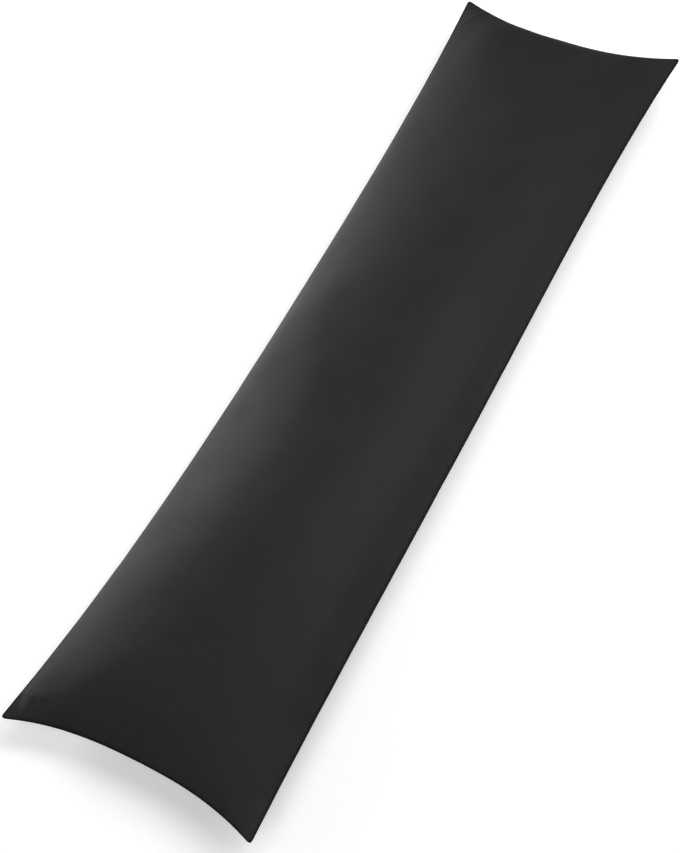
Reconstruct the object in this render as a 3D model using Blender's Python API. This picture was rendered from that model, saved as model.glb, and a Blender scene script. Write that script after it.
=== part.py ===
"""A long body pillow, filled and lying on its back on a flat surface.

Two rectangular panels are sewn face to face round all four sides and turned, so the edge is a plain
knife edge with no piping. The filling draws the sides and the ends in between the corners, and leaves
the four tips flat and nearly empty.

Metres, +Z up. +Y runs along the pillow, +X across it, and the surface it lies on is z = 0. The origin
is on that surface, in the middle of the four tips.
"""

import math

import bpy

# The cover, seam to seam, once it is filled
TIP_SPREAD_X = 0.381  # between the tips of one end
TIP_SPREAD_Y = 1.438  # between the tips of one side
SIDE_DRAW_IN = 0.0193  # how far each side comes in, halfway along
SIDE_DRAW_POWER = 3.2  # higher keeps more of the side straight
END_DRAW_IN = 0.0295  # how far each end comes in, halfway across
END_DRAW_POWER = 2.5
SIDEWAYS_BEND = 0.0113  # the middle lies this far towards +X of the line between the ends
SIDEWAYS_SWAY = 0.0076  # a slight S on top of that: the far end leans to +X and the near end to -X
SWAY_BACK = 0.6  # how much the S swings back between the ends
TIP_RADIUS = 0.004  # the turned corners are a little round

# The seam that runs all the way round
SEAM_THICKNESS = 0.0028  # four layers of cloth, pressed
SEAM_HEIGHT = 0.058  # above the surface, halfway along a side
TIP_LIFT = 0.003  # the tips stay higher, where no filling pulls the seam down

# The filling. Each panel's section across is (1 - |u| ^ power) ^ root times its height
CROWN_HEIGHT = 0.078  # top panel above the seam
CROWN_POWER = 2.2
CROWN_ROOT = 0.75
BELLY_DEPTH = 0.068  # bottom panel below the seam, if nothing held it up
BELLY_POWER = 3.2
BELLY_ROOT = 0.75
END_SLOPE_LENGTH = 0.440  # the filling thins out over this length at each end
END_SLOPE_POWER = 2.2
END_SLOPE_ROOT = 0.62
CONTACT_EASE = 0.001  # how gradually the bottom panel meets the surface

# Where the filling lies thicker or thinner: centre, reach along each axis, and rise of the top panel
FILL_COLUMNS = ("x", "y", "reach_x", "reach_y", "rise")
FILL = [
    (0.030, -0.330, 0.110, 0.160, 0.0055),  # fuller towards the near end
    (-0.120, -0.240, 0.060, 0.130, -0.0065),  # which leaves the left shoulder beside it slack
    (0.060, -0.130, 0.080, 0.080, -0.0045),
    (-0.115, 0.005, 0.060, 0.090, 0.0090),  # a square left shoulder halfway along
    (0.060, 0.110, 0.110, 0.130, 0.0065),
    (-0.055, 0.365, 0.080, 0.110, -0.0085),  # a hollow towards the far end
    (0.030, 0.600, 0.060, 0.110, -0.0070),
    (-0.120, 0.620, 0.055, 0.090, 0.0090),  # filling pushed up into the far left tip
    (-0.070, -0.620, 0.090, 0.080, 0.0030),
]

# Soft creases in the top panel, mostly across the tips, where the cover is empty: the ends of each line,
# its half width and its depth (a negative depth is a ridge)
CREASE_COLUMNS = ("x0", "y0", "x1", "y1", "half_width", "depth")
CREASES = [
    (-0.183, 0.660, -0.142, 0.700, 0.009, -0.0018),  # far left tip
    (-0.176, 0.640, -0.128, 0.684, 0.010, 0.0020),
    (-0.178, -0.662, -0.118, -0.640, 0.010, 0.0018),  # near left tip
    (-0.170, -0.690, -0.105, -0.664, 0.009, 0.0014),
    (0.180, -0.655, 0.138, -0.688, 0.010, 0.0016),  # near right tip
    (0.176, 0.650, 0.140, 0.684, 0.010, 0.0016),  # far right tip
]

# Mesh
CELLS_ACROSS = 22
CELLS_ALONG = 74
EDGE_CROWDING = 0.85  # 0 spaces the rows evenly, 1 crowds them most towards the seam

COVER_COLOUR = (0.0284, 0.0284, 0.0296, 1.0)  # charcoal black, dyed through
COVER_ROUGHNESS = 0.55


def clear_scene():
    for old in list(bpy.data.objects):
        bpy.data.objects.remove(old, do_unlink=True)


def spaced(cells):
    """Values from -1 to 1, closer together near both ends."""
    values = []
    for i in range(cells + 1):
        even = 2 * i / cells - 1
        crowded = math.sin(even * math.pi / 2)
        values.append(even + EDGE_CROWDING * (crowded - even))
    return values


def rounded_tip(u, v):
    """The same place on the panel, with the panel's square corners rounded to TIP_RADIUS."""
    half = (TIP_SPREAD_X / 2, TIP_SPREAD_Y / 2)
    place = (abs(u) * half[0], abs(v) * half[1])
    inner = (half[0] - TIP_RADIUS, half[1] - TIP_RADIUS)
    a = (place[0] - inner[0]) / TIP_RADIUS
    b = (place[1] - inner[1]) / TIP_RADIUS
    if a <= 0 or b <= 0:
        return u, v
    x = inner[0] + TIP_RADIUS * a * math.sqrt(1 - b * b / 2)
    y = inner[1] + TIP_RADIUS * b * math.sqrt(1 - a * a / 2)
    return math.copysign(x / half[0], u), math.copysign(y / half[1], v)


def plan(u, v):
    """Where the panel's place (u, v), each from -1 to 1, lies in plan once the pillow is filled."""
    u, v = rounded_tip(u, v)
    half_width = TIP_SPREAD_X / 2 - SIDE_DRAW_IN * (1 - abs(v) ** SIDE_DRAW_POWER)
    half_length = TIP_SPREAD_Y / 2 - END_DRAW_IN * (1 - abs(u) ** END_DRAW_POWER)
    sideways = SIDEWAYS_BEND * (1 - v * v) + SIDEWAYS_SWAY * (v**3 - SWAY_BACK * v)
    return u * half_width + sideways, v * half_length


def fullness(u, v, power, root):
    """From 0 at the seam to 1 where the pillow is full."""
    across = (1 - abs(u) ** power) ** root
    from_end = (1 - abs(v)) * TIP_SPREAD_Y / 2
    short_by = 1 - min(from_end / END_SLOPE_LENGTH, 1)
    return across * (1 - short_by**END_SLOPE_POWER) ** END_SLOPE_ROOT


def seam_height(u, v):
    return SEAM_HEIGHT + TIP_LIFT * (u * v) ** 2


def fill_rise(x, y):
    """How much thicker the filling is here, as a rise of the top panel."""
    rise = 0.0
    for row in FILL:
        patch = dict(zip(FILL_COLUMNS, row))
        away = ((x - patch["x"]) / patch["reach_x"]) ** 2 + ((y - patch["y"]) / patch["reach_y"]) ** 2
        rise += patch["rise"] * math.exp(-away)
    return rise


def crease_depth(x, y):
    """How deep the creases cut here. Each fades out towards the ends of its line."""
    depth = 0.0
    for row in CREASES:
        crease = dict(zip(CREASE_COLUMNS, row))
        run = (crease["x1"] - crease["x0"], crease["y1"] - crease["y0"])
        length = math.hypot(*run)
        along = ((x - crease["x0"]) * run[0] + (y - crease["y0"]) * run[1]) / length**2
        if not 0 < along < 1:
            continue
        off = abs((x - crease["x0"]) * run[1] - (y - crease["y0"]) * run[0]) / length
        depth += crease["depth"] * math.sin(math.pi * along) * math.exp(-((off / crease["half_width"]) ** 2))
    return depth


def eased_floor(height):
    """The height, held up by the surface at z = 0 and meeting it gradually."""
    if height >= CONTACT_EASE:
        return height
    if height <= -CONTACT_EASE:
        return 0.0
    return (height + CONTACT_EASE) ** 2 / (4 * CONTACT_EASE)


def top_point(u, v):
    x, y = plan(u, v)
    full = fullness(u, v, CROWN_POWER, CROWN_ROOT)
    relief = min(full * 2.5, 1) * (fill_rise(x, y) - crease_depth(x, y))
    return x, y, seam_height(u, v) + SEAM_THICKNESS / 2 + CROWN_HEIGHT * full + relief


def bottom_point(u, v):
    x, y = plan(u, v)
    full = fullness(u, v, BELLY_POWER, BELLY_ROOT)
    return x, y, eased_floor(seam_height(u, v) - SEAM_THICKNESS / 2 - BELLY_DEPTH * full)


def panel(place, us, vs, points, faces, facing_up):
    """Adds one panel's grid of points and faces, and returns the indices of its points."""
    grid = []
    for v in vs:
        row = []
        for u in us:
            row.append(len(points))
            points.append(place(u, v))
        grid.append(row)
    for low, high in zip(grid, grid[1:]):
        for i in range(len(us) - 1):
            corners = [low[i], low[i + 1], high[i + 1], high[i]]
            faces.append(corners if facing_up else corners[::-1])
    return grid


def outline(grid):
    """The points round a panel's edge, anticlockwise from above."""
    near, far = grid[0], grid[-1]
    right = [row[-1] for row in grid]
    left = [row[0] for row in grid]
    return near[:-1] + right[:-1] + far[:0:-1] + left[:0:-1]


def centred(points):
    """The points, moved so that the middle of their box in plan is over the origin."""
    xs, ys = [p[0] for p in points], [p[1] for p in points]
    x_middle, y_middle = (min(xs) + max(xs)) / 2, (min(ys) + max(ys)) / 2
    return [(x - x_middle, y - y_middle, z) for x, y, z in points]


def pillow_mesh():
    us, vs = spaced(CELLS_ACROSS), spaced(CELLS_ALONG)
    points, faces = [], []
    top = outline(panel(top_point, us, vs, points, faces, True))
    bottom = outline(panel(bottom_point, us, vs, points, faces, False))
    for i in range(len(top)):  # the seam's own thin edge joins the two panels
        following = (i + 1) % len(top)
        faces.append([bottom[i], bottom[following], top[following], top[i]])
    mesh = bpy.data.meshes.new("pillow")
    mesh.from_pydata(centred(points), [], faces)
    mesh.validate()
    mesh.shade_smooth()
    mesh.set_sharp_from_angle(angle=math.radians(50))
    return mesh


def cover_material():
    material = bpy.data.materials.new("cover_cloth")
    material.use_nodes = True
    shader = material.node_tree.nodes["Principled BSDF"]
    shader.inputs["Base Color"].default_value = COVER_COLOUR
    shader.inputs["Roughness"].default_value = COVER_ROUGHNESS
    shader.inputs["Metallic"].default_value = 0.0
    return material


def main():
    clear_scene()
    pillow = bpy.data.objects.new("pillow", pillow_mesh())
    pillow.data.materials.append(cover_material())
    bpy.context.scene.collection.objects.link(pillow)


main()
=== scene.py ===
import math

import bpy
import numpy as np
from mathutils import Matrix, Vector


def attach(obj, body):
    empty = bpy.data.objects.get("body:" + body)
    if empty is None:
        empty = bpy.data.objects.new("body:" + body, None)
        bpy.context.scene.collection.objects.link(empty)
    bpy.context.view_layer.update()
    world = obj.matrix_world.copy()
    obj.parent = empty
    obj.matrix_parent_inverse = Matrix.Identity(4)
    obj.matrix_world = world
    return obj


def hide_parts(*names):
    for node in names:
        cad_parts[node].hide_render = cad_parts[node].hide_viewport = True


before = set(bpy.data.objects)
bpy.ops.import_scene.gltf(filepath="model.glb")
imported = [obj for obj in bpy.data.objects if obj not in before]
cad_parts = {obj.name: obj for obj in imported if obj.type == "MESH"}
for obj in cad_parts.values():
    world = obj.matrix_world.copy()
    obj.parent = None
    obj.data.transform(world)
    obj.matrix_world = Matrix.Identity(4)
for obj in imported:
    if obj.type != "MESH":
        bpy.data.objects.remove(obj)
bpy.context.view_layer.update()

# A filled body pillow lying on its back. +Y runs along it and +X across it, and the floor is z = 0.
# On each panel u runs across from -1 to 1 and v along from -1 to 1, seam to seam.

# The cover, in metres. Its form when filled is that of the solid it replaces
cover = {
    "tipSpreadX": 0.381,  # between the tips of one end
    "tipSpreadY": 1.438,  # between the tips of one side
    "tipRadius": 0.004,
    "sideDrawIn": 0.0193,  # how far the filling pulls each side in, halfway along
    "sideDrawPower": 3.2,
    "endDrawIn": 0.0295,
    "endDrawPower": 2.5,
    "bend": 0.0113,  # the middle lies this far to +X
    "sway": 0.0076,  # a slight S on top of the bend
    "swayBack": 0.6,
    "seamHeight": 0.058,
    "tipLift": 0.003,
    "crownHeight": 0.078,
    "crownPower": 2.2,
    "crownRoot": 0.75,
    "bellyDepth": 0.068,
    "bellyPower": 3.2,
    "bellyRoot": 0.75,
    "endSlope": 0.440,  # the filling thins out over this length at each end
    "endSlopePower": 2.2,
    "endSlopeRoot": 0.62,
    "contactEase": 0.001,
    "foldFade": 2.5,  # how soon the folds come up from the seam. Higher is sooner
    "creaseFade": 6,
    # its mesh and its cut
    "cellsAcross": 54,
    "cellsAlong": 192,
    "crowding": 0.45,  # rows lie closer together near the seam
    "cutWidth": 0.397,  # each panel between its seam lines, before it is filled
    "cutLength": 1.446,
    "mapGap": 0.05,  # between the two panels on the cloth's map
    # how it settles
    "frames": 30,
    "hold": 0.15,  # how firmly the filling holds the panels in place
    "seamHold": 0.6,
    "mostMove": 0.006,  # no point goes further than this
    "unevenness": 0.0003,  # how uneven the filling is to start with
    "waveLengths": (0.05, 0.11),
    "waves": 60,
    "seed": 3,
}

# Where the filling lies thicker or thinner under the top panel
fillColumns = ("x", "y", "reachX", "reachY", "rise")
fillPatches = [
    (0.030, -0.330, 0.110, 0.160, 0.0055),  # fuller towards the near end
    (-0.120, -0.240, 0.060, 0.130, -0.0065),  # which leaves the left shoulder beside it slack
    (0.060, -0.130, 0.080, 0.080, -0.0045),
    (-0.115, 0.005, 0.060, 0.090, 0.0090),  # a square left shoulder halfway along
    (0.060, 0.110, 0.110, 0.130, 0.0065),
    (-0.055, 0.365, 0.080, 0.110, -0.0085),  # a hollow towards the far end
    (0.030, 0.600, 0.060, 0.110, -0.0070),
    (-0.120, 0.620, 0.055, 0.090, 0.0090),  # filling pushed up into the far left tip
    (-0.070, -0.620, 0.090, 0.080, 0.0030),
]

# Soft folds and hollows along a line, and how far each one rises. A negative rise is a hollow
foldColumns = ("x0", "y0", "x1", "y1", "halfWidth", "rise")
folds = [
    (0.078, 0.300, 0.064, 0.660, 0.016, 0.0026),  # the right shoulder, as far as the far end's seam
    (0.100, 0.520, 0.095, 0.720, 0.022, 0.0025),
    (0.030, 0.480, 0.020, 0.720, 0.022, 0.0010),
    (0.115, 0.250, 0.115, 0.480, 0.020, -0.0034),
    (0.130, -0.060, 0.130, 0.300, 0.018, -0.0038),
    (0.083, -0.500, 0.083, 0.200, 0.020, 0.0019),
    (0.100, -0.420, 0.100, -0.100, 0.016, -0.0015),
    (0.130, -0.690, 0.050, -0.490, 0.014, 0.0025),  # where it runs out to the near right tip
    (0.110, -0.640, 0.100, -0.400, 0.018, -0.0024),
    (0.150, -0.600, 0.150, -0.240, 0.013, 0.0030),  # close to the right seam
    (0.150, -0.300, 0.152, 0.100, 0.013, 0.0026),
    (-0.130, 0.665, 0.110, 0.660, 0.018, 0.0046),  # the filling reaches the far end's seam
    (-0.090, -0.672, 0.080, -0.672, 0.025, -0.0050),  # but stops short of the near end's
    (-0.145, 0.470, -0.145, 0.650, 0.018, -0.0032),  # the far end of the left side
    (-0.070, 0.480, -0.080, 0.700, 0.022, 0.0017),
    (-0.010, -0.530, -0.180, -0.710, 0.022, 0.0019),  # runs out to the near left tip
    (-0.130, -0.270, -0.130, -0.010, 0.015, 0.0034),  # the left shoulder
    (-0.123, -0.010, -0.123, 0.200, 0.018, -0.0032),
    (-0.145, -0.050, -0.145, 0.150, 0.014, -0.0016),
    (0.000, -0.180, -0.005, -0.030, 0.028, -0.0018),  # small dents in the crown
    (-0.060, -0.300, -0.060, -0.100, 0.025, -0.0012),
    (0.020, -0.380, 0.010, -0.250, 0.020, 0.0017),
]

# Creases in the cloth alone, all across the tips, where the cover is empty
creases = [
    (-0.183, 0.660, -0.142, 0.700, 0.0090, 0.0007),  # far left tip
    (-0.176, 0.640, -0.128, 0.684, 0.0100, -0.0008),
    (-0.168, 0.596, -0.128, 0.630, 0.0060, 0.0007),
    (-0.178, -0.662, -0.118, -0.640, 0.0100, -0.0006),  # near left tip
    (-0.170, -0.690, -0.105, -0.664, 0.0090, -0.0005),
    (0.180, -0.655, 0.138, -0.688, 0.0100, -0.0010),  # near right tip
    (0.176, 0.650, 0.140, 0.684, 0.0100, -0.0010),  # far right tip
]

# Crisper ones over them, finer than the mesh, that the material draws as bumps
crispCreases = [
    (-0.179, 0.640, -0.131, 0.733, 0.0022, 0.0014),  # far left tip, as far as its end seam
    (-0.171, -0.712, -0.186, -0.680, 0.0055, -0.0016),  # near left tip: short puckers at its end seam
    (-0.149, -0.705, -0.165, -0.675, 0.0045, -0.0015),
    (-0.134, -0.703, -0.150, -0.673, 0.0055, -0.0018),
    (-0.122, -0.700, -0.131, -0.678, 0.0045, -0.0008),
]


def planPlace(u, v):
    # x and y of the panel's place (u, v)
    half = cover["tipSpreadX"] / 2, cover["tipSpreadY"] / 2
    radius = cover["tipRadius"]
    a = np.clip((abs(u) * half[0] - half[0] + radius) / radius, 0, 1)
    b = np.clip((abs(v) * half[1] - half[1] + radius) / radius, 0, 1)
    u = u - np.sign(u) * a * (1 - np.sqrt(1 - b * b / 2)) * radius / half[0]
    v = v - np.sign(v) * b * (1 - np.sqrt(1 - a * a / 2)) * radius / half[1]
    halfWidth = half[0] - cover["sideDrawIn"] * (1 - abs(v) ** cover["sideDrawPower"])
    halfLength = half[1] - cover["endDrawIn"] * (1 - abs(u) ** cover["endDrawPower"])
    sideways = cover["bend"] * (1 - v * v) + cover["sway"] * (v**3 - cover["swayBack"] * v)
    return u * halfWidth + sideways, v * halfLength


def fullness(u, v, power, root):
    # from 0 at the seam to 1 where the pillow is full
    across = (1 - abs(u) ** power) ** root
    shortBy = 1 - np.minimum((1 - abs(v)) * cover["tipSpreadY"] / 2 / cover["endSlope"], 1)
    return across * (1 - shortBy ** cover["endSlopePower"]) ** cover["endSlopeRoot"]


def topFullness(u, v):
    return fullness(u, v, cover["crownPower"], cover["crownRoot"])


def fillRise(x, y):
    rise = 0
    for row in fillPatches:
        patch = dict(zip(fillColumns, row))
        acrossIt, alongIt = (x - patch["x"]) / patch["reachX"], (y - patch["y"]) / patch["reachY"]
        rise = rise + patch["rise"] * np.exp(-(acrossIt**2 + alongIt**2))
    return rise


def foldRise(rows, x, y):
    # each fold fades out towards the ends of its line
    rise = 0
    for row in rows:
        fold = dict(zip(foldColumns, row))
        runX, runY = fold["x1"] - fold["x0"], fold["y1"] - fold["y0"]
        length = math.hypot(runX, runY)
        fromX, fromY = x - fold["x0"], y - fold["y0"]
        along = np.clip((fromX * runX + fromY * runY) / length**2, 0, 1)
        off = (fromX * runY - fromY * runX) / length
        profile = np.exp(-((off / fold["halfWidth"]) ** 2))
        rise = rise + fold["rise"] * np.sin(math.pi * along) * profile
    return rise


def seamRise(u, v):
    return cover["seamHeight"] + cover["tipLift"] * (u * v) ** 2


def topPlace(u, v):
    x, y = planPlace(u, v)
    full = topFullness(u, v)
    relief = np.minimum(full * cover["foldFade"], 1) * (fillRise(x, y) + foldRise(folds, x, y))
    z = seamRise(u, v) + cover["crownHeight"] * full + relief
    return np.stack([x, y, z], axis=-1)


def bottomPlace(u, v):
    x, y = planPlace(u, v)
    full = fullness(u, v, cover["bellyPower"], cover["bellyRoot"])
    height = seamRise(u, v) - cover["bellyDepth"] * full
    ease = cover["contactEase"]
    inContact = (np.clip(height, -ease, ease) + ease) ** 2 / (4 * ease)
    return np.stack([x, y, np.where(height > ease, height, inContact)], axis=-1)


def spaced(cells):
    even = np.linspace(-1, 1, cells + 1)
    return even + cover["crowding"] * (np.sin(even * math.pi / 2) - even)


def linear(hexColour):
    # an sRGB hex colour as linear values
    parts = [int(hexColour[i : i + 2], 16) / 255 for i in (1, 3, 5)]
    return [p / 12.92 if p <= 0.04045 else ((p + 0.055) / 1.055) ** 2.4 for p in parts] + [1.0]


def addNode(tree, kind, settings=None, links=None):
    # adds a node, sets its properties and inputs, and links its inputs from other sockets
    node = tree.nodes.new(kind)
    for name, value in (settings or {}).items():
        if isinstance(name, str) and hasattr(node, name):
            setattr(node, name, value)
        else:
            node.inputs[name].default_value = value
    for name, source in (links or {}).items():
        tree.links.new(source, node.inputs[name])
    return node


def makeObject(name, points, faces, edges=()):
    mesh = bpy.data.meshes.new(name)
    mesh.from_pydata(np.asarray(points).tolist(), list(edges), np.asarray(faces).tolist())
    mesh.shade_smooth()
    made = bpy.data.objects.new(name, mesh)
    bpy.context.scene.collection.objects.link(made)
    return made


def gridFaces(index, facingUp):
    low, high = index[:-1], index[1:]
    corners = [low[:, :-1], low[:, 1:], high[:, 1:], high[:, :-1]]
    if not facingUp:
        corners.reverse()
    return np.stack([c.ravel() for c in corners], axis=-1)


def outlineOf(index):
    # the indices round a panel's edge, anticlockwise from above
    return np.concatenate([index[0, :-1], index[:-1, -1], index[-1, :0:-1], index[:0:-1, 0]])


def panelIndices():
    # numbers the points of both panels, which share those on the seam
    rows, columns = cover["cellsAlong"] + 1, cover["cellsAcross"] + 1
    top = np.arange(rows * columns).reshape(rows, columns)
    bottom = top.copy()
    inner = (rows - 2) * (columns - 2)
    bottom[1:-1, 1:-1] = rows * columns + np.arange(inner).reshape(rows - 2, columns - 2)
    return top, bottom


def gentleWaves(x, y):
    # soft unevenness, the same each run
    rng = np.random.default_rng(cover["seed"])
    height = 0
    for _ in range(cover["waves"]):
        heading, shift = rng.uniform(0, 2 * math.pi, 2)
        turns = (math.cos(heading) * x + math.sin(heading) * y) / rng.uniform(*cover["waveLengths"])
        height = height + np.sin(2 * math.pi * turns + shift)
    return height / math.sqrt(cover["waves"])


# The cloth as it settles, in the simulation's own words: light and supple, and it hardly stretches
clothSettings = {
    "quality": 6,
    "mass": 0.15,
    "tension_stiffness": 25,
    "compression_stiffness": 25,
    "shear_stiffness": 8,
    "bending_stiffness": 0.6,
    "tension_damping": 10,
    "compression_damping": 10,
    "shear_damping": 10,
    "air_damping": 3,
    "use_pressure": True,
    "uniform_pressure_force": 1.5,
    "pin_stiffness": 1,
}


def settleCloth(points, flat, top, bottom):
    # the filling holds the panels in place, and the cloth takes up its own slack between
    faces = np.concatenate([gridFaces(top, True), gridFaces(bottom, False)])
    bag = makeObject("bag", points, faces)
    bag.shape_key_add(name="Basis")
    cut = bag.shape_key_add(name="cut")
    cut.data.foreach_set("co", flat.ravel())
    hold = bag.vertex_groups.new(name="hold")
    hold.add(list(range(len(points))), cover["hold"], "REPLACE")
    hold.add([int(i) for i in outlineOf(top)], cover["seamHold"], "REPLACE")
    modifier = bag.modifiers.new("settle", "CLOTH")
    settings = modifier.settings
    for name, value in clothSettings.items():
        setattr(settings, name, value)
    settings.vertex_group_mass = "hold"
    settings.rest_shape_key = cut
    settings.effector_weights.gravity = 0  # the filling carries it
    modifier.collision_settings.use_collision = False
    modifier.collision_settings.use_self_collision = False
    modifier.point_cache.frame_start = 1
    modifier.point_cache.frame_end = cover["frames"]
    scene = bpy.context.scene
    for number in range(1, cover["frames"] + 1):
        scene.frame_set(number)
    settled = bag.evaluated_get(bpy.context.evaluated_depsgraph_get())
    result = np.empty(len(points) * 3)
    settled.data.vertices.foreach_get("co", result)
    result = result.reshape(-1, 3)
    scene.frame_set(1)
    bpy.data.objects.remove(bag)
    move = result - points
    far = np.maximum(np.linalg.norm(move, axis=1, keepdims=True), 1e-9)
    print("cloth settled: the most that it moved is %.1f mm" % (far.max() * 1000))
    return points + move / far * cover["mostMove"] * np.tanh(far / cover["mostMove"])


def fillCover():
    u, v = np.meshgrid(spaced(cover["cellsAcross"]), spaced(cover["cellsAlong"]))
    top, bottom = panelIndices()
    count = bottom.max() + 1
    points, flat = np.empty((count, 3)), np.zeros((count, 3))
    for index, place in ((bottom, bottomPlace), (top, topPlace)):
        points[index] = place(u, v)
        flat[index, 0] = u * cover["cutWidth"] / 2
        flat[index, 1] = v * cover["cutLength"] / 2
    upOrDown = np.ones(count)
    upOrDown[bottom[1:-1, 1:-1].ravel()] = -1
    uneven = points.copy()
    uneven[:, 2] += cover["unevenness"] * upOrDown * gentleWaves(points[:, 0], points[:, 1])
    points = settleCloth(uneven, flat, top, bottom)
    x, y = points[top, 0], points[top, 1]
    points[top, 2] += np.minimum(topFullness(u, v) * cover["creaseFade"], 1) * foldRise(creases, x, y)
    points[:, 2] = np.maximum(points[:, 2], 0)
    print("cover filled: %d points in two panels, %d creases" % (count, len(creases)))
    return points, flat, top, bottom


# The turned seam in section: how far each row of the mesh stands out of the seam line and up from it, and
# how much painted shade darkens it, from 0 to 1: a painted shadow in the groove, and lighter painted shade on
# the lips
seamRows = [
    (0.0000, 0.0016, 0.45),
    (0.0008, 0.0010, 0.50),
    (0.0007, 0.0004, 0.80),
    (-0.0007, 0.0000, 1.00),  # the bottom of the groove, where the two panels meet
    (0.0007, -0.0004, 0.80),
    (0.0008, -0.0010, 0.50),
    (0.0000, -0.0016, 0.45),
]


def outwards(line):
    # the way out of the pillow at each point of a line round it
    run = np.roll(line, -1, axis=0) - np.roll(line, 1, axis=0)
    out = np.stack([run[:, 1], -run[:, 0], np.zeros(len(line))], axis=-1)
    return out / np.linalg.norm(out, axis=1, keepdims=True)


def sewCover(points, flat, top, bottom):
    # opens the shared seam line into the two rounded lips of a seam that was sewn inside out and turned
    loop = outlineOf(top)
    line = points[loop]
    rows = [line + outwards(line) * row[0] + np.array([0, 0, row[1]]) for row in seamRows]
    allPoints = np.concatenate([points] + rows[1:])
    allPoints[loop] = rows[0]
    onCut = np.concatenate([flat[:, :2]] + [flat[loop, :2]] * (len(rows) - 1))
    index = [loop] + [len(points) + k * len(loop) + np.arange(len(loop)) for k in range(len(rows) - 1)]
    under = bottom.copy()
    edge = np.isin(under, loop)
    toLast = dict(zip(loop.tolist(), index[-1].tolist()))
    under[edge] = [toLast[i] for i in under[edge].tolist()]
    faces = [gridFaces(top, True), gridFaces(under, False)]
    for upper, lower in zip(index, index[1:]):
        faces.append(np.stack([upper, lower, np.roll(lower, -1), np.roll(upper, -1)], axis=-1))
    frontCount = len(faces[0])
    faces = np.concatenate(faces)
    piece = makeObject("pillow_cover", allPoints, faces)
    mapCloth(piece, onCut, faces, frontCount)
    markSeam(piece, onCut, index)
    modifier = piece.modifiers.new("round", "SUBSURF")
    modifier.levels = modifier.render_levels = 1
    print("cover sewn: %d faces before they are rounded" % len(faces))
    return piece, rows[3]


def mapCloth(piece, onCut, faces, frontCount):
    # the cloth's own map, in metres on the flat cut, with the back panel beside the front one
    corners = onCut[faces.ravel()] + np.array([cover["cutWidth"] / 2, cover["cutLength"] / 2])
    isBack = np.arange(len(faces)) >= frontCount
    corners[np.repeat(isBack, 4), 0] += cover["cutWidth"] + cover["mapGap"]
    layer = piece.data.uv_layers.new(name="cloth")
    layer.uv.foreach_set("vector", corners.astype(np.float32).ravel())


def markSeam(piece, onCut, index):
    # what the material reads besides: how far each point is from the seams, and how much painted shade
    # darkens the seam
    inwards = np.array([cover["cutWidth"], cover["cutLength"]]) / 2 - abs(onCut)
    dark = np.zeros(len(onCut))
    for row, places in zip(seamRows, index):
        dark[places] = row[2]
    for name, values in (("fromSide", inwards[:, 0]), ("fromEnd", inwards[:, 1]), ("seamPaintedShade", dark)):
        layer = piece.data.attributes.new(name, "FLOAT", "POINT")
        layer.data.foreach_set("value", values.astype(np.float32))


# The stitches that show between the lips of the seam
stitches = {
    "pitch": 0.0030,
    "length": 0.0013,  # across the groove
    "thread": 0.00045,
    "lean": 12,  # degrees either way, at random
    "standOut": 0.0008,  # of the bottom of the groove
    "seed": 7,
    "beadSides": (6, 5),  # a stitch's sides round and along, few because there are so many
    "dye": ("#131313", "#1e1e1e"),
    "twist": 0.0006,  # two plies twist round each other about this often
    "twistRelief": 0.00006,
    "roughness": 0.5,
    "specular": 0.4,
}


def stitchTree(material):
    tree = bpy.data.node_groups.new("seam stitches", "GeometryNodeTree")
    tree.interface.new_socket("Geometry", in_out="INPUT", socket_type="NodeSocketGeometry")
    for name in ("Pitch", "Length", "Thread", "Lean"):
        tree.interface.new_socket(name, in_out="INPUT", socket_type="NodeSocketFloat")
    tree.interface.new_socket("Geometry", in_out="OUTPUT", socket_type="NodeSocketGeometry")
    given = addNode(tree, "NodeGroupInput").outputs
    curve = addNode(tree, "GeometryNodeMeshToCurve", links={"Mesh": given["Geometry"]})
    places = addNode(
        tree,
        "GeometryNodeResampleCurve",
        {"mode": "LENGTH"},
        {"Curve": curve.outputs[0], "Length": given["Pitch"]},
    )
    # One stitch is a bead of thread, long up and down
    sides, rings = stitches["beadSides"]
    bead = addNode(tree, "GeometryNodeMeshUVSphere", {"Segments": sides, "Rings": rings, "Radius": 0.5})
    size = addNode(
        tree,
        "ShaderNodeCombineXYZ",
        links={"X": given["Thread"], "Y": given["Thread"], "Z": given["Length"]},
    )
    stitch = addNode(
        tree, "GeometryNodeTransform", links={"Geometry": bead.outputs["Mesh"], "Scale": size.outputs[0]}
    )
    # It faces along the seam and leans a little
    least = addNode(tree, "ShaderNodeMath", {"operation": "MULTIPLY", 1: -1.0}, {0: given["Lean"]})
    lean = addNode(
        tree,
        "FunctionNodeRandomValue",
        {"data_type": "FLOAT", "Seed": stitches["seed"]},
        {2: least.outputs[0], 3: given["Lean"]},
    )
    tilt = addNode(tree, "ShaderNodeCombineXYZ", links={"X": lean.outputs[1]})
    tangent = addNode(tree, "GeometryNodeInputTangent")
    along = addNode(
        tree,
        "FunctionNodeAlignRotationToVector",
        {"axis": "Y", "pivot_axis": "Z"},
        {"Vector": tangent.outputs[0]},
    )
    turned = addNode(
        tree,
        "FunctionNodeRotateRotation",
        {"rotation_space": "LOCAL"},
        {"Rotation": along.outputs[0], "Rotate By": tilt.outputs[0]},
    )
    row = addNode(
        tree,
        "GeometryNodeInstanceOnPoints",
        links={"Points": places.outputs[0], "Instance": stitch.outputs[0], "Rotation": turned.outputs[0]},
    )
    real = addNode(tree, "GeometryNodeRealizeInstances", links={"Geometry": row.outputs[0]})
    smooth = addNode(tree, "GeometryNodeSetShadeSmooth", links={"Geometry": real.outputs[0]})
    dyed = addNode(tree, "GeometryNodeSetMaterial", {"Material": material}, {"Geometry": smooth.outputs[0]})
    addNode(tree, "NodeGroupOutput", links={0: dyed.outputs[0]})
    return tree


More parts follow.
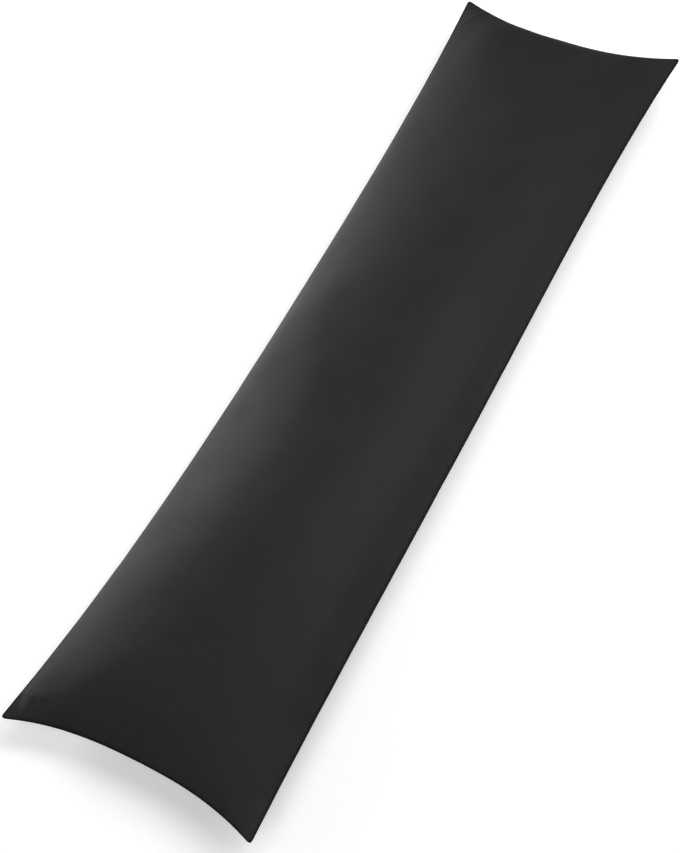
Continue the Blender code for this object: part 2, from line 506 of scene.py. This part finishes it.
def makeStitches(groove, material):
    line = groove + outwards(groove) * stitches["standOut"]
    count = len(line)
    guide = makeObject("stitch_line", line, [], [(i, (i + 1) % count) for i in range(count)])
    tree = stitchTree(material)
    modifier = guide.modifiers.new("stitches", "NODES")
    modifier.node_group = tree
    values = {
        "Pitch": stitches["pitch"],
        "Length": stitches["length"],
        "Thread": stitches["thread"],
        "Lean": math.radians(stitches["lean"]),
    }
    for item in tree.interface.items_tree:
        if item.in_out == "INPUT" and item.name in values:
            modifier[item.identifier] = values[item.name]
    evaluated = guide.evaluated_get(bpy.context.evaluated_depsgraph_get())
    mesh = bpy.data.meshes.new_from_object(evaluated)
    mesh.name = "seam_stitches"
    bpy.data.objects.remove(guide)
    piece = bpy.data.objects.new("seam_stitches", mesh)
    bpy.context.scene.collection.objects.link(piece)
    print("seam stitched: %d faces of thread" % len(mesh.polygons))
    return piece


nap = {
    "lying": "#1e1e1e",  # where it lies down
    "raised": "#222222",  # where it stands up
    # the colour of the painted shade in the seam's groove and on its lips
    "seam": "#0c0c0c",
    "pills": "#404040",
    "roughness": (0.57, 0.63),
    "specular": 0.18,
    "sheen": 0.057,
    "sheenRoughness": 0.3,
    "flatReach": 0.004,  # this close to the seams the nap lies flat
    "flatShine": 0.4,  # and keeps this share of its shine
    "patches": 0.060,  # soft patches, in metres
    "smudges": 0.012,
    "standing": (0.75, 1.25),  # the patches' and smudges' sum where the nap lies down, and where it stands
    "clumps": 0.0022,  # single fibres are 0.01 mm thick, so only their clumps are drawn
    "threads": 0.0025,  # real ones lie 0.25 mm apart, too fine to show: drawn ten times coarser
    "threadShare": 0.35,  # of the clumps' height
    "relief": 0.00012,
    "puckers": 0.011,  # from one to the next along the seam
    "puckerReach": 0.020,
    "puckerRise": 0.0012,
    "pillSpacing": 0.055,
    "pillSize": 0.0007,
    "pillShare": 0.8,  # how much of a pill's own colour shows
}


def creaseHeight(tree, place):
    # the height of the crisp creases, in metres
    total = addNode(tree, "ShaderNodeValue").outputs[0]
    total.default_value = 0
    for row in crispCreases:
        crease = dict(zip(foldColumns, row))
        run = Vector((crease["x1"] - crease["x0"], crease["y1"] - crease["y0"], 0))
        acrossIt = Vector((run.y, -run.x, 0)).normalized() / (2 * crease["halfWidth"])
        fromStart = addNode(
            tree,
            "ShaderNodeVectorMath",
            {"operation": "SUBTRACT", 1: (crease["x0"], crease["y0"], 0)},
            {0: place},
        ).outputs[0]
        along, off = [
            addNode(tree, "ShaderNodeVectorMath", {"operation": "DOT_PRODUCT", 1: way}, {0: fromStart})
            for way in (run / run.length_squared, acrossIt)
        ]
        halfTurn = addNode(tree, "ShaderNodeMapRange", {"To Max": math.pi}, {"Value": along.outputs["Value"]})
        swell = addNode(tree, "ShaderNodeMath", {"operation": "SINE"}, {0: halfTurn.outputs["Result"]})
        aside = addNode(tree, "ShaderNodeMath", {"operation": "ABSOLUTE"}, {0: off.outputs["Value"]})
        profile = addNode(
            tree,
            "ShaderNodeMapRange",
            {"interpolation_type": "SMOOTHSTEP", "To Min": crease["rise"], "To Max": 0.0},
            {"Value": aside.outputs[0]},
        )
        total = addNode(
            tree,
            "ShaderNodeMath",
            {"operation": "MULTIPLY_ADD"},
            {0: swell.outputs[0], 1: profile.outputs["Result"], 2: total},
        ).outputs[0]
    return total


def napColour(tree, place, standing):
    colour = addNode(
        tree,
        "ShaderNodeMix",
        {"data_type": "RGBA", 6: linear(nap["lying"]), 7: linear(nap["raised"])},
        {0: standing},
    )
    # A pill here and there, where fibres have rubbed together into a bead
    spread = addNode(tree, "ShaderNodeTexVoronoi", {"Scale": 1 / nap["pillSpacing"]}, {"Vector": place})
    pills = addNode(
        tree,
        "ShaderNodeMapRange",
        {"From Max": nap["pillSize"] / nap["pillSpacing"], "To Min": nap["pillShare"], "To Max": 0.0},
        {"Value": spread.outputs["Distance"]},
    )
    pilled = addNode(
        tree,
        "ShaderNodeMix",
        {"data_type": "RGBA", 7: linear(nap["pills"])},
        {0: pills.outputs["Result"], 6: colour.outputs[2]},
    )
    # Painted shade along the seam, darkest in its groove and lighter on its lips
    seamPaintedShade = addNode(tree, "ShaderNodeAttribute", {"attribute_name": "seamPaintedShade"})
    darkened = addNode(
        tree,
        "ShaderNodeMix",
        {"data_type": "RGBA", 7: linear(nap["seam"])},
        {0: seamPaintedShade.outputs["Fac"], 6: pilled.outputs[2]},
    )
    return darkened.outputs[2]


def napSurface(tree, place, fromSeams):
    # The clumps of the nap, and the threads, which cross at right angles along the cut of the cloth
    clumps = addNode(
        tree, "ShaderNodeTexNoise", {"Scale": 1 / nap["clumps"], "Detail": 2.0}, {"Vector": place}
    )
    onCloth = addNode(tree, "ShaderNodeUVMap", {"uv_map": "cloth"})
    apart = addNode(tree, "ShaderNodeSeparateXYZ", links={0: onCloth.outputs[0]})
    waves = []
    for axis in ("X", "Y"):
        turn = addNode(
            tree,
            "ShaderNodeMath",
            {"operation": "MULTIPLY", 1: 2 * math.pi / nap["threads"]},
            {0: apart.outputs[axis]},
        )
        waves.append(addNode(tree, "ShaderNodeMath", {"operation": "SINE"}, {0: turn.outputs[0]}).outputs[0])
    weave = addNode(tree, "ShaderNodeMath", {"operation": "MULTIPLY"}, {0: waves[0], 1: waves[1]})
    height = addNode(
        tree,
        "ShaderNodeMath",
        {"operation": "MULTIPLY_ADD", 1: nap["threadShare"]},
        {0: weave.outputs[0], 2: clumps.outputs["Fac"]},
    )
    surface = addNode(
        tree, "ShaderNodeBump", {"Strength": 0.5, "Distance": nap["relief"]}, {"Height": height.outputs[0]}
    ).outputs["Normal"]

    # The seam gathers the cloth beside it into small puckers, square to it, that die away over 2 cm
    for fromSeam, axis in zip(fromSeams, ("Y", "X")):
        line = addNode(tree, "ShaderNodeCombineXYZ", links={"X": apart.outputs[axis]})
        ripple = addNode(
            tree,
            "ShaderNodeTexNoise",
            {"Scale": 1 / nap["puckers"], "Detail": 0.0},
            {"Vector": line.outputs[0]},
        )
        fade = addNode(
            tree,
            "ShaderNodeMapRange",
            {
                "interpolation_type": "SMOOTHSTEP",
                "From Max": nap["puckerReach"],
                "To Min": 1.0,
                "To Max": 0.0,
            },
            {"Value": fromSeam},
        )
        rise = addNode(
            tree,
            "ShaderNodeMath",
            {"operation": "MULTIPLY"},
            {0: ripple.outputs["Fac"], 1: fade.outputs["Result"]},
        )
        surface = addNode(
            tree,
            "ShaderNodeBump",
            {"Strength": 1.0, "Distance": nap["puckerRise"]},
            {"Height": rise.outputs[0], "Normal": surface},
        ).outputs["Normal"]
    return addNode(
        tree,
        "ShaderNodeBump",
        {"Strength": 1.0, "Distance": 1.0},
        {"Height": creaseHeight(tree, place), "Normal": surface},
    ).outputs["Normal"]


def coverMaterial():
    # Brushed polyester microfibre, piece-dyed black. The brushing raises a very short nap, which hides the
    # weave, softens the highlight and lightens the cloth where it is seen edge on
    material = bpy.data.materials.new("brushed_microfibre")
    material.use_nodes = True
    tree = material.node_tree
    shader = tree.nodes["Principled BSDF"]
    place = addNode(tree, "ShaderNodeTexCoord").outputs["Object"]
    patches = addNode(
        tree, "ShaderNodeTexNoise", {"Scale": 1 / nap["patches"], "Detail": 2.0}, {"Vector": place}
    )
    smudges = addNode(
        tree, "ShaderNodeTexNoise", {"Scale": 1 / nap["smudges"], "Detail": 3.0}, {"Vector": place}
    )
    both = addNode(
        tree,
        "ShaderNodeMath",
        {"operation": "ADD"},
        {0: patches.outputs["Fac"], 1: smudges.outputs["Fac"]},
    )
    standing = addNode(
        tree,
        "ShaderNodeMapRange",
        {"From Min": nap["standing"][0], "From Max": nap["standing"][1]},
        {"Value": both.outputs[0]},
    ).outputs["Result"]
    tree.links.new(napColour(tree, place, standing), shader.inputs["Base Color"])
    gloss = addNode(
        tree,
        "ShaderNodeMapRange",
        {"To Min": nap["roughness"][0], "To Max": nap["roughness"][1]},
        {"Value": standing},
    )
    tree.links.new(gloss.outputs["Result"], shader.inputs["Roughness"])
    fromSeams = [
        addNode(tree, "ShaderNodeAttribute", {"attribute_name": name}).outputs["Fac"]
        for name in ("fromSide", "fromEnd")
    ]
    tree.links.new(napSurface(tree, place, fromSeams), shader.inputs["Normal"])
    nearest = addNode(tree, "ShaderNodeMath", {"operation": "MINIMUM"}, {0: fromSeams[0], 1: fromSeams[1]})
    for name, most in (("Specular IOR Level", nap["specular"]), ("Sheen Weight", nap["sheen"])):
        shine = addNode(
            tree,
            "ShaderNodeMapRange",
            {
                "interpolation_type": "SMOOTHSTEP",
                "From Max": nap["flatReach"],
                "To Min": nap["flatShine"] * most,
                "To Max": most,
            },
            {"Value": nearest.outputs[0]},
        )
        tree.links.new(shine.outputs["Result"], shader.inputs[name])
    shader.inputs["Sheen Roughness"].default_value = nap["sheenRoughness"]
    return material


def threadMaterial():
    # Spun polyester sewing thread, dyed to match: rounder and a little glossier than the nap beside it
    material = bpy.data.materials.new("spun_polyester_thread")
    material.use_nodes = True
    tree = material.node_tree
    shader = tree.nodes["Principled BSDF"]
    place = addNode(tree, "ShaderNodeTexCoord").outputs["Object"]
    plies = addNode(
        tree, "ShaderNodeTexNoise", {"Scale": 1 / stitches["twist"], "Detail": 1.0}, {"Vector": place}
    )
    dark, light = stitches["dye"]
    colour = addNode(
        tree,
        "ShaderNodeMix",
        {"data_type": "RGBA", 6: linear(dark), 7: linear(light)},
        {0: plies.outputs["Fac"]},
    )
    tree.links.new(colour.outputs[2], shader.inputs["Base Color"])
    bump = addNode(
        tree,
        "ShaderNodeBump",
        {"Strength": 0.5, "Distance": stitches["twistRelief"]},
        {"Height": plies.outputs["Fac"]},
    )
    tree.links.new(bump.outputs["Normal"], shader.inputs["Normal"])
    shader.inputs["Roughness"].default_value = stitches["roughness"]
    shader.inputs["Specular IOR Level"].default_value = stitches["specular"]
    return material


# A pale studio: a floor, a camera and soft lights
studio = {
    "floorSize": 30.0,
    "floorDrop": 0.0003,  # just under the cloth that rests on it
    "floorColour": "#f2f2f2",
    "floorRoughness": 0.9,
    "floorSpecular": 0.1,
    "cardColour": "#404040",
    "cardReach": (0.55, 0.95),  # along Y, from where the card starts to count to where it hides the floor
    "glow": (0.28, 0.9),  # the floor's own light near the pillow, and far from it, where the lamps fade
    "glowReach": (1.0, 4.0),
    "backdrop": 0.95,  # how bright the surroundings look
    "ambient": 0.11,  # and how much light they give
}


def floorMaterial():
    # White opal acrylic, lit from below so that it stays white to the eye past the lamps' reach
    material = bpy.data.materials.new("opal_acrylic")
    material.use_nodes = True
    tree = material.node_tree
    shader = tree.nodes["Principled BSDF"]
    shader.inputs["Roughness"].default_value = studio["floorRoughness"]
    shader.inputs["Specular IOR Level"].default_value = studio["floorSpecular"]
    shader.inputs["Emission Color"].default_value = (1, 1, 1, 1)
    place = addNode(tree, "ShaderNodeTexCoord").outputs["Object"]
    away = addNode(tree, "ShaderNodeVectorMath", {"operation": "LENGTH"}, {0: place})
    glow = addNode(
        tree,
        "ShaderNodeMapRange",
        {
            "From Min": studio["glowReach"][0],
            "From Max": studio["glowReach"][1],
            "To Min": studio["glow"][0],
            "To Max": studio["glow"][1],
        },
        {"Value": away.outputs["Value"]},
    )
    # White to the camera everywhere, but past the far end it throws little light back on the pillow, as if
    # a black card lay there
    apart = addNode(tree, "ShaderNodeSeparateXYZ", links={0: place})
    onNearSide = addNode(
        tree,
        "ShaderNodeMapRange",
        {
            "interpolation_type": "SMOOTHSTEP",
            "From Min": studio["cardReach"][0],
            "From Max": studio["cardReach"][1],
            "To Min": 1.0,
            "To Max": 0.0,
        },
        {"Value": apart.outputs["Y"]},
    )
    seen = addNode(tree, "ShaderNodeLightPath").outputs["Is Camera Ray"]
    white = addNode(
        tree, "ShaderNodeMath", {"operation": "MAXIMUM"}, {0: onNearSide.outputs["Result"], 1: seen}
    )
    ownLight = addNode(
        tree, "ShaderNodeMath", {"operation": "MULTIPLY"}, {0: glow.outputs["Result"], 1: white.outputs[0]}
    )
    tree.links.new(ownLight.outputs[0], shader.inputs["Emission Strength"])
    colour = addNode(
        tree,
        "ShaderNodeMix",
        {"data_type": "RGBA", 6: linear(studio["cardColour"]), 7: linear(studio["floorColour"])},
        {0: white.outputs[0]},
    )
    tree.links.new(colour.outputs[2], shader.inputs["Base Color"])
    return material


def makeFloor():
    half, drop = studio["floorSize"] / 2, studio["floorDrop"]
    corners = [(-half, -half, -drop), (half, -half, -drop), (half, half, -drop), (-half, half, -drop)]
    floor = makeObject("floor", corners, [(0, 1, 2, 3)])
    floor.data.materials.append(floorMaterial())


view = {
    "place": (0.6988, -1.0398, 1.8591),
    "turn": (31.763, 6.109, 27.662),  # degrees about X, Y and Z
    "lens": 62.4,  # mm, on a 36 mm sensor along the picture's long side
}


def makeCamera():
    data = bpy.data.cameras.new("camera")
    data.lens = view["lens"]
    camera = bpy.data.objects.new("camera", data)
    camera.location = view["place"]
    camera.rotation_euler = [math.radians(a) for a in view["turn"]]
    bpy.context.scene.collection.objects.link(camera)
    bpy.context.scene.camera = camera


# Soft boxes, all aimed at the pillow: the way to each one in degrees from +X, how high it stands in degrees,
# how far off it is, its width and height, and its power
lampColumns = ("name", "heading", "height", "away", "width", "tall", "watts")
lamps = [
    ("right_strip", 30, 75, 2.6, 0.4, 1.8, 15.5),
    ("right_box", 30, 52, 2.6, 1.4, 1.4, 13),
    ("low_right_strip", 30, 45, 2.6, 0.4, 1.8, 18),
    ("left_box", 165, 28, 2.6, 1.8, 1.0, 17),
    ("far_left_box", 140, 20, 2.6, 1.4, 0.8, 10),
    ("near_left_box", 195, 20, 2.6, 1.4, 0.8, 4),
    ("left_skirt", 180, 8, 2.6, 2.4, 0.5, 29),
    ("near_box", 275, 52, 2.6, 1.4, 1.4, 14),
    ("far_box", 90, 40, 2.6, 1.6, 1.2, 5),
]


def makeLights():
    for row in lamps:
        lamp = dict(zip(lampColumns, row))
        data = bpy.data.lights.new(lamp["name"], "AREA")
        data.shape = "RECTANGLE"
        data.size, data.size_y = lamp["width"], lamp["tall"]
        data.energy = lamp["watts"]
        heading, height = math.radians(lamp["heading"]), math.radians(lamp["height"])
        level = math.cos(height)
        way = Vector((level * math.cos(heading), level * math.sin(heading), math.sin(height)))
        light = bpy.data.objects.new(lamp["name"], data)
        light.location = way * lamp["away"]
        light.rotation_euler = way.to_track_quat("Z", "Y").to_euler()
        bpy.context.scene.collection.objects.link(light)


def makeWorld():
    # white all round to the eye, but dim as a light
    world = bpy.data.worlds.new("studio")
    world.use_nodes = True
    tree = world.node_tree
    seen = addNode(tree, "ShaderNodeLightPath").outputs["Is Camera Ray"]
    glow = addNode(
        tree,
        "ShaderNodeMapRange",
        {"To Min": studio["ambient"], "To Max": studio["backdrop"]},
        {"Value": seen},
    )
    background = tree.nodes["Background"]
    background.inputs["Color"].default_value = (1, 1, 1, 1)
    tree.links.new(glow.outputs["Result"], background.inputs["Strength"])
    bpy.context.scene.world = world
    bpy.context.scene.view_settings.view_transform = "Standard"


makeCamera()
makeLights()
makeWorld()
makeFloor()
print("studio ready: %d lamps" % len(lamps))
coverPiece, grooveLine = sewCover(*fillCover())
coverPiece.data.materials.append(coverMaterial())
stitchPiece = makeStitches(grooveLine, threadMaterial())

for piece in (coverPiece, stitchPiece):
    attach(piece, "root")
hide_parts("pillow")
